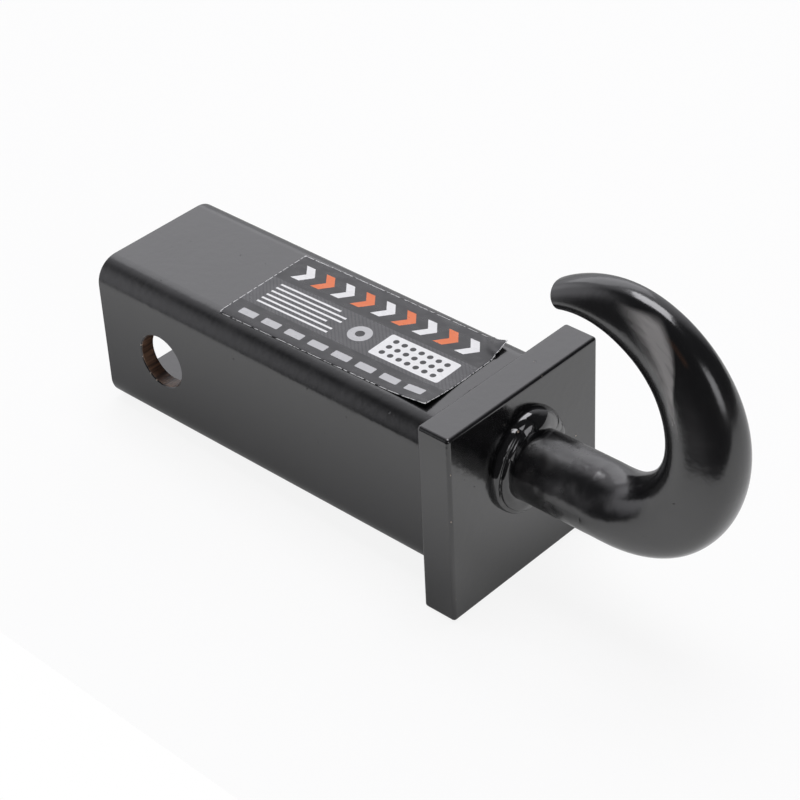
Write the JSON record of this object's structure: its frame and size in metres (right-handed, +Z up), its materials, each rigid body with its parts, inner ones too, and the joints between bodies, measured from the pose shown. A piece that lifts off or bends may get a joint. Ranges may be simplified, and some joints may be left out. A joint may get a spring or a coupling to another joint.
{
  "type": "receiver tow hook",
  "caption": "Recovery tow hook with a square receiver shank tube, a cross pin hole, a square end plate and an open forged hook.",
  "frame": {"origin": "middle of the hitch pin hole, on the shank tube's centreline", "axes": "+X along the shank tube towards the hook, +Y across the tube along the hitch pin, +Z up, the way the hook opens"},
  "size_m": [0.2239, 0.064, 0.1123],
  "materials": {
    "shank_paint": "gloss black powder coat",
    "plate_paint": "gloss black powder coat",
    "hook_paint": "wet gloss black powder coat",
    "weld_paint": "wet gloss black powder coat over weld ripples",
    "label": "printed film"
  },
  "bodies": {
    "root": {"shank_tube": "shank_paint", "end_plate": "plate_paint", "hook": "hook_paint", "hook_weld": "weld_paint", "tube_weld": "weld_paint", "label": "label"}
  },
  "joints": []
}
